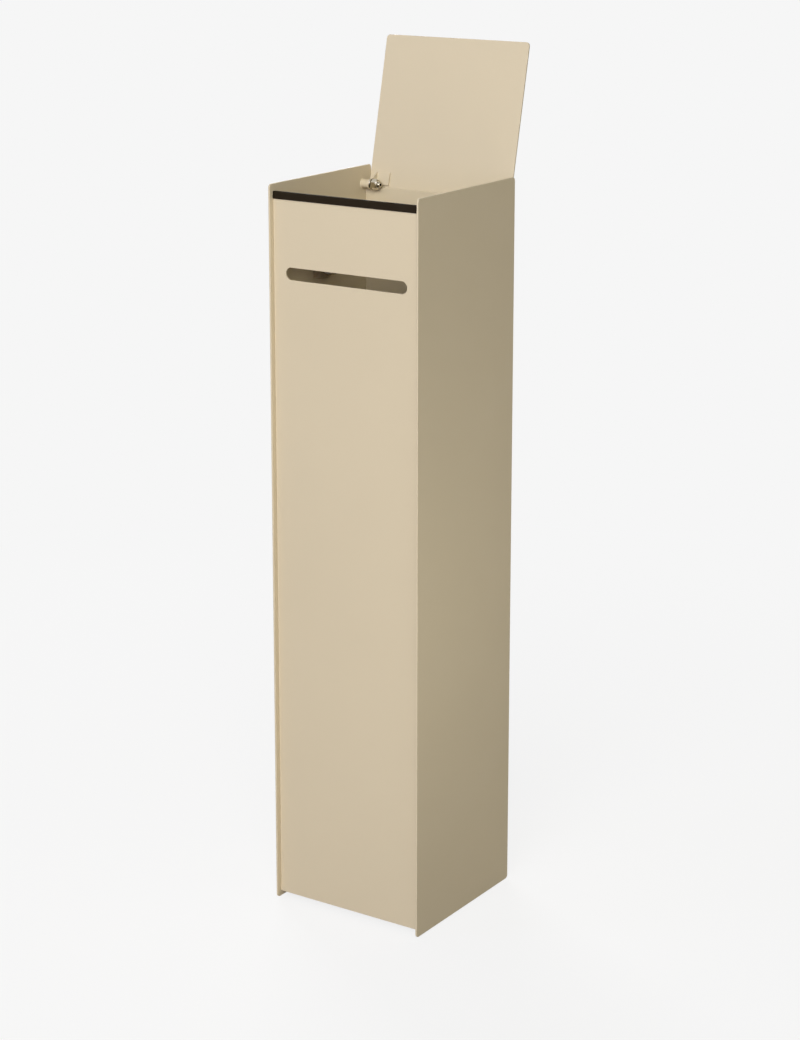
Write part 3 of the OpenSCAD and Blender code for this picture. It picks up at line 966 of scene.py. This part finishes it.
def spindle_clip(side):
    """A snap ring: widest opposite its mouth, with a round lug at each end."""
    name = SIDE_NAMES[side] + "_spindle_clip"
    half_mouth = CLIP_MOUTH / 2
    # The ring is narrower at its ends by taper; a lug's width is a share of the way round
    taper, lug_size, lug_width = 0.75, 0.75, 1 / 9
    steps = 56
    outer, inner = [], []
    for k in range(steps + 1):
        angle = -90 + half_mouth + (360 - CLIP_MOUTH) * k / steps
        from_top = abs(angle - 90) / (180 - half_mouth)
        reach = CLIP_R - taper * min(1.0, from_top * 1.05) ** 2
        lug = lug_size * math.exp(-(((1 - from_top) / lug_width) ** 2))
        outer.append(arc((0, 0), reach + lug, angle, angle, 1)[0])
        inner.append(arc((0, 0), GROOVE_R, angle, angle, 1)[0])
    outline = outer + list(reversed(inner))
    points = [(CLIP_X, y, z) for y, z in outline]
    points = on_side(side, onto_axis(points, SPINDLE_AXIS))
    faces = [(k, k + 1, 2 * steps - k, 2 * steps + 1 - k) for k in range(steps)]
    clip = new_piece(
        name + "_stamped", points, faces, GROUND_STEEL, "spindle", "spindle_steel", name
    )
    give_thickness(clip, CLIP_T, (-side, 0, 0))
    round_edges(clip, 0.12, segments=2)


# Rubber pieces

def front_edge_trim():
    """The U-profile, its outer corners round, drawn along the front panel's top edge."""
    slit_front, slit_back = FRONT_Y, FRONT_Y + SHEET_T
    corner, chamfer = TRIM_CORNER_R, 0.2
    section = [(TRIM_FRONT_Y + chamfer, TRIM_LOW_Z), (TRIM_FRONT_Y, TRIM_LOW_Z + chamfer)]
    section += arc((TRIM_FRONT_Y + corner, TRIM_TOP_Z - corner), corner, 180, 90, 8)
    section += arc((TRIM_BACK_Y - corner, TRIM_TOP_Z - corner), corner, 90, 0, 8)
    section += [(TRIM_BACK_Y, TRIM_LOW_Z + chamfer), (TRIM_BACK_Y - chamfer, TRIM_LOW_Z)]
    section += [
        (slit_back, TRIM_LOW_Z), (slit_back, FRONT_TOP_Z), (slit_front, FRONT_TOP_Z),
        (slit_front, TRIM_LOW_Z),
    ]
    count = len(section)
    stations = (-1.0, -0.5, 0.0, 0.5, 1.0)
    points = [(TRIM_HALF_W * s, y, z) for s in stations for y, z in section]
    faces = [
        (k * count + i, k * count + (i + 1) % count, (k + 1) * count + (i + 1) % count,
         (k + 1) * count + i)
        for k in range(len(stations) - 1) for i in range(count)
    ]
    faces.append(tuple(range(count)))
    faces.append(tuple((len(stations) - 1) * count + i for i in range(count)))
    trim = new_piece(
        "front_edge_trim_profile", points, faces, TRIM_RUBBER, "cabinet", "trim_rubber",
        "front_edge_trim",
    )
    round_edges(trim, 0.3, angle=50.0)


def foot(name):
    """A moulded foot: tapered, round at its lower rim, with a shallow ring in its underside."""
    low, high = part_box(name)
    middle = (low + high) / 2 / MM
    top = high.z / MM
    rings = [
        (0.25, 0.0), (0.25, 2.6), (0.0, 3.0), (0.0, FOOT_FLOOR_R - 1.0),
        (0.12, FOOT_FLOOR_R - 0.5), (0.45, FOOT_FLOOR_R - 0.1), (0.9, FOOT_FLOOR_R + 0.12),
        (top - 1.4, FOOT_TOP_R - 0.25), (top - 1.1, FOOT_TOP_R), (top, FOOT_TOP_R), (top, 0.0),
    ]
    points, faces = turned_piece([(x, max(r, CENTRE_R)) for x, r in rings], False)
    points = [(middle.x + y, middle.y + z, x) for x, y, z in points]
    piece = new_piece(
        name + "_moulded", points, faces, FOOT_RUBBER, "cabinet", "foot_rubber", name
    )
    smooth_to(piece, 35.0)


for side in (LEFT, RIGHT):
    side_panel(side)
    hinge_post(side)
    hinge_stud(side)
    hinge_washer(side)
    hinge_nut(side)
    lid_bracket(side)
    spindle_cradle(side)
    spindle_bush(side)
    spindle_clip(side)
front_panel()
back_panel()
base_plate()
lid()
spindle_rod()
front_edge_trim()
for foot_name in ("front_left_foot", "front_right_foot", "back_left_foot", "back_right_foot"):
    foot(foot_name)


# Studio, in metres

BACKGROUND = linear(246, 246, 246)
FLOOR_SHADOW = 0.15
FLOOR_HALF_W = 12.0
COLUMN_MIDDLE = (0, 0, 0.45)


def seen_share(tree):
    """1 for what the camera, a reflection or glass sees, and 0 for the light on the object."""
    paths = tree.nodes.new("ShaderNodeLightPath").outputs
    seen = maths(tree, "ADD", "Seen", paths["Is Camera Ray"], paths["Is Glossy Ray"])
    seen = maths(tree, "ADD", "Seen through", seen, paths["Is Transmission Ray"])
    return maths(tree, "MINIMUM", "Seen share", seen, 1.0)


def mix_shaders(tree, label, share, first, second):
    """A node that shows the first shader where share is 0 and the second where it is 1."""
    node = add_node(tree, "ShaderNodeMixShader", label)
    feed(tree, node.inputs["Fac"], share)
    feed(tree, node.inputs[1], first.outputs[0])
    feed(tree, node.inputs[2], second.outputs[0])
    return node


def studio_floor():
    """A pale floor that fades into the background, and keeps the object's soft shadow."""
    half = FLOOR_HALF_W
    mesh = bpy.data.meshes.new("studio_floor")
    mesh.from_pydata(
        [(-half, -half, 0), (half, -half, 0), (half, half, 0), (-half, half, 0)],
        [], [(0, 1, 2, 3)],
    )
    floor = bpy.data.objects.new("studio_floor", mesh)
    bpy.context.scene.collection.objects.link(floor)
    material = bpy.data.materials.new("Studio floor")
    material.use_nodes = True
    tree = material.node_tree
    tree.nodes.clear()
    position = own_coordinates(tree)
    distance = tree.nodes.new("ShaderNodeVectorMath")
    distance.operation = "LENGTH"
    feed(tree, distance.inputs[0], position)
    near = spread(tree, "Near", distance.outputs["Value"], 0.25, 1.1, 1.0, 0.0)
    shadow_share = maths(tree, "MULTIPLY", "Shadow share", near, FLOOR_SHADOW)
    lit = add_node(tree, "ShaderNodeBsdfDiffuse", "Lit floor", Color=(0.92, 0.92, 0.925, 1.0))
    pale = mix_colour(tree, "Paler near the object", near, BACKGROUND, (0.95, 0.95, 0.95, 1.0))
    glow = add_node(tree, "ShaderNodeEmission", "Background glow", Color=pale, Strength=1.0)
    shown = mix_shaders(tree, "Shadow in the glow", shadow_share, glow, lit)
    plain = add_node(tree, "ShaderNodeBsdfDiffuse", "Plain floor", Color=(0.37, 0.335, 0.27, 1.0))
    whole = mix_shaders(tree, "Seen or not", seen_share(tree), plain, shown)
    output = tree.nodes.new("ShaderNodeOutputMaterial")
    feed(tree, output.inputs["Surface"], whole.outputs[0])
    mesh.materials.append(material)


def studio_world(ambient):
    """An even pale surround, which the camera and the reflections see as the background."""
    world = bpy.data.worlds.new("Studio surround")
    bpy.context.scene.world = world
    world.use_nodes = True
    tree = world.node_tree
    tree.nodes.clear()
    around = add_node(tree, "ShaderNodeBackground", "Around", Color=ambient, Strength=1.0)
    behind = add_node(tree, "ShaderNodeBackground", "Background", Color=BACKGROUND, Strength=1.0)
    both = mix_shaders(tree, "Seen or not", seen_share(tree), around, behind)
    output = tree.nodes.new("ShaderNodeOutputWorld")
    feed(tree, output.inputs["Surface"], both.outputs[0])


def softbox(name, place, target, size, watts, colour):
    """A square lamp at its place, facing its target, which the camera does not see."""
    light = bpy.data.lights.new(name, "AREA")
    light.shape = "RECTANGLE"
    light.size = light.size_y = size
    light.energy = watts
    light.color = colour
    lamp = bpy.data.objects.new(name, light)
    lamp.location = place
    lamp.visible_camera = False
    lamp.rotation_euler = (Vector(target) - Vector(place)).to_track_quat("-Z", "Y").to_euler()
    bpy.context.scene.collection.objects.link(lamp)


def photo_camera():
    """The camera fitted to the photograph: turned to the right, a little above level. Lengths
    are fitted as shares of the column's height, and angles in degrees."""
    turned, raised, rolled = (math.radians(a) for a in (33.751, 13.343, 0.016))
    back = Vector((
        math.sin(turned) * math.cos(raised), -math.cos(turned) * math.cos(raised), math.sin(raised)
    ))
    right = Vector((0, 0, 1)).cross(back).normalized()
    up = back.cross(right)
    right, up = (
        math.cos(rolled) * right + math.sin(rolled) * up,
        math.cos(rolled) * up - math.sin(rolled) * right,
    )
    height = COLUMN_TOP * MM
    across, upwards, distance = 0.0096 * height, 0.1989 * height, 3.3272 * height
    place = Vector((0, 0, height / 2)) + right * across + up * upwards + back * distance
    long_side, focal_length, shift = 1040, 2451.3, -120
    data = bpy.data.cameras.new("photo_camera")
    data.sensor_width = 36.0
    data.lens = focal_length / long_side * data.sensor_width
    data.shift_y = shift / long_side
    data.clip_start = 0.01
    data.clip_end = 60.0
    camera = bpy.data.objects.new("photo_camera", data)
    camera.matrix_world = Matrix((
        (right.x, up.x, back.x, place.x),
        (right.y, up.y, back.y, place.y),
        (right.z, up.z, back.z, place.z),
        (0, 0, 0, 1),
    ))
    bpy.context.scene.collection.objects.link(camera)
    bpy.context.scene.camera = camera


studio_floor()
studio_world((0.100, 0.097, 0.086, 1.0))
# Name, place, target, size of its square, watts, colour
for softbox_values in (
    ("front_softbox", (0.861, -3.212, 1.157), COLUMN_MIDDLE, 1.8, 25.5, (1.0, 1.0, 1.38)),
    ("high_front_softbox", (0.2, -2.9, 2.2), COLUMN_MIDDLE, 1.2, 24.0, (1.0, 1.0, 0.97)),
    ("camera_side_softbox", (1.501, -2.6, 2.046), COLUMN_MIDDLE, 1.8, 60.0, (1.0, 0.98, 0.83)),
    ("high_side_softbox", (2.2, 0.1, 2.4), COLUMN_MIDDLE, 1.2, 1.8, (1.0, 0.97, 0.6)),
    ("low_side_softbox", (0.34, -0.13, 0.26), (0.07, -0.02, 0.36), 0.16, 0.15, (1.0, 0.97, 0.86)),
    ("hinge_softbox", (-0.85, -0.9, 2.1), (-0.02, 0.06, 0.59), 0.4, 2.4, (1.0, 1.0, 1.4)),
    ("rear_softbox", (-2.2, 2.0, 1.4), (0, 0, 0.4), 1.8, 72.0, (1.0, 1.0, 1.0)),
):
    softbox(*softbox_values)
photo_camera()
bpy.context.scene.view_settings.view_transform = "Standard"
